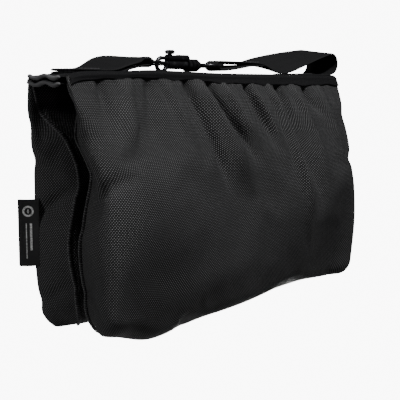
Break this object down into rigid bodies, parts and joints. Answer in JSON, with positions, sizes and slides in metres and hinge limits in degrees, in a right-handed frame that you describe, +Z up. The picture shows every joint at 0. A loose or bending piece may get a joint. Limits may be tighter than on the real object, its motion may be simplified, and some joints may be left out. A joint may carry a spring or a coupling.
{
  "type": "saddle sandbag",
  "caption": "Saddle-style weight bag: two sand-filled fabric pouches hung from a narrow bridge, with a webbing handle that snaps onto a ring, for steadying a stand.",
  "frame": {"origin": "middle of the underside of the bridge, where the bag rests on a stand leg", "axes": "+X along the bag towards the sewn end of the handle, -Y towards the front pouch, +Z up"},
  "size_m": [0.33, 0.097, 0.2084],
  "materials": {
    "ballistic": "ballistic weave, black, slight sheen on the raised yarns",
    "oxford": "fine plain weave, black, matt",
    "binding": "ribbed binding tape, worn charcoal along the fold",
    "webbing": "twill webbing, black, soft sheen",
    "thread": "bonded sewing thread, black",
    "black_metal": "black electro-coated metal, semi-gloss",
    "spring_steel": "bright spring wire",
    "zip_tape": "woven zipper tape, black",
    "zip_teeth": "moulded coil teeth, black",
    "liner": "translucent plastic film, satin",
    "sand": "dry sand, matt",
    "label": "woven label, black with a plain pale pattern"
  },
  "bodies": {
    "saddle": {"bridge_panel": "oxford", "bridge_lining": "oxford", "left_panel_binding": "binding", "left_lining_binding": "binding", "right_panel_binding": "binding", "right_lining_binding": "binding", "ring_tab": "webbing", "ring_tab_stitches": "thread", "strap_end": "webbing", "strap_end_stitches": "thread"},
    "front_pouch": {"front_outer_panel": "ballistic", "front_inner_panel": "ballistic", "front_left_gusset": "ballistic", "front_right_gusset": "ballistic", "front_top_band": "oxford", "front_liner": "liner", "front_sand": "sand", "front_zipper_tape": "zip_tape", "front_zipper_teeth": "zip_teeth", "front_zipper_stops": "black_metal"},
    "rear_pouch": {"rear_outer_panel": "ballistic", "rear_inner_panel": "ballistic", "rear_left_gusset": "ballistic", "rear_right_gusset": "ballistic", "rear_top_band": "oxford", "rear_liner": "liner", "rear_sand": "sand", "rear_zipper_tape": "zip_tape", "rear_zipper_teeth": "zip_teeth", "rear_zipper_stops": "black_metal"},
    "front_slider": {"front_zipper_slider": "black_metal"},
    "front_pull": {"front_zipper_pull": "black_metal"},
    "rear_slider": {"rear_zipper_slider": "black_metal"},
    "rear_pull": {"rear_zipper_pull": "black_metal"},
    "label_flap": {"label": "label"},
    "ring": {"d_ring": "black_metal"},
    "strap": {"handle_strap": "webbing", "strap_eye_stitches": "thread"},
    "eye": {"swivel_eye": "black_metal"},
    "hook": {"hook_body": "black_metal", "hook_spring": "spring_steel"},
    "bolt": {"hook_bolt": "black_metal"}
  },
  "joints": [
    {"name": "front_pouch_swing", "type": "hinge", "parent": "saddle", "child": "front_pouch", "pos_m": [0, -0.0185, 0.0015], "axis": [-1, 0, 0], "range_deg": [0, 90]},
    {"name": "rear_pouch_swing", "type": "hinge", "parent": "saddle", "child": "rear_pouch", "pos_m": [0, 0.0185, 0.0015], "axis": [1, 0, 0], "range_deg": [0, 90]},
    {"name": "front_zipper_slide", "type": "slide", "parent": "front_pouch", "child": "front_slider", "axis": [-1, 0, 0], "range_m": [0, 0.232]},
    {"name": "front_pull_turn", "type": "hinge", "parent": "front_slider", "child": "front_pull", "pos_m": [0.116, -0.0136, -0.012], "axis": [0, 0, -1], "range_deg": [0, 160]},
    {"name": "rear_zipper_slide", "type": "slide", "parent": "rear_pouch", "child": "rear_slider", "axis": [1, 0, 0], "range_m": [0, 0.232]},
    {"name": "rear_pull_turn", "type": "hinge", "parent": "rear_slider", "child": "rear_pull", "pos_m": [-0.116, 0.0136, -0.012], "axis": [0, 0, -1], "range_deg": [0, 160]},
    {"name": "label_fold", "type": "hinge", "parent": "rear_pouch", "child": "label_flap", "pos_m": [-0.1489, 0.032, -0.112], "axis": [0, 0, 1], "range_deg": [-40, 120]},
    {"name": "handle_lift", "type": "hinge", "parent": "saddle", "child": "strap", "pos_m": [0.15, 0, 0.00435], "axis": [0, 1, 0], "range_deg": [0, 3.2]},
    {"name": "ring_lift", "type": "hinge", "parent": "saddle", "child": "ring", "pos_m": [-0.0722, 0, 0.0126], "axis": [0, -1, 0], "range_deg": [0, 33]},
    {"name": "eye_turn", "type": "hinge", "parent": "strap", "child": "eye", "pos_m": [0.0075, 0, 0.0109], "axis": [0, 1, 0], "range_deg": [0, 1.2]},
    {"name": "hook_swivel", "type": "hinge", "parent": "eye", "child": "hook", "pos_m": [-0.02, 0, 0.0109], "axis": [1, 0, 0], "range_deg": [-20, 20]},
    {"name": "bolt_slide", "type": "slide", "parent": "hook", "child": "bolt", "axis": [1, 0, 0], "range_m": [0, 0.0065], "stiffness_N_per_m": 200, "springref_m": -0.004, "deforming": ["hook_spring"]}
  ],
  "couplings": [
    {"joint": "ring_lift", "follows": "handle_lift", "ratio": 10}
  ]
}
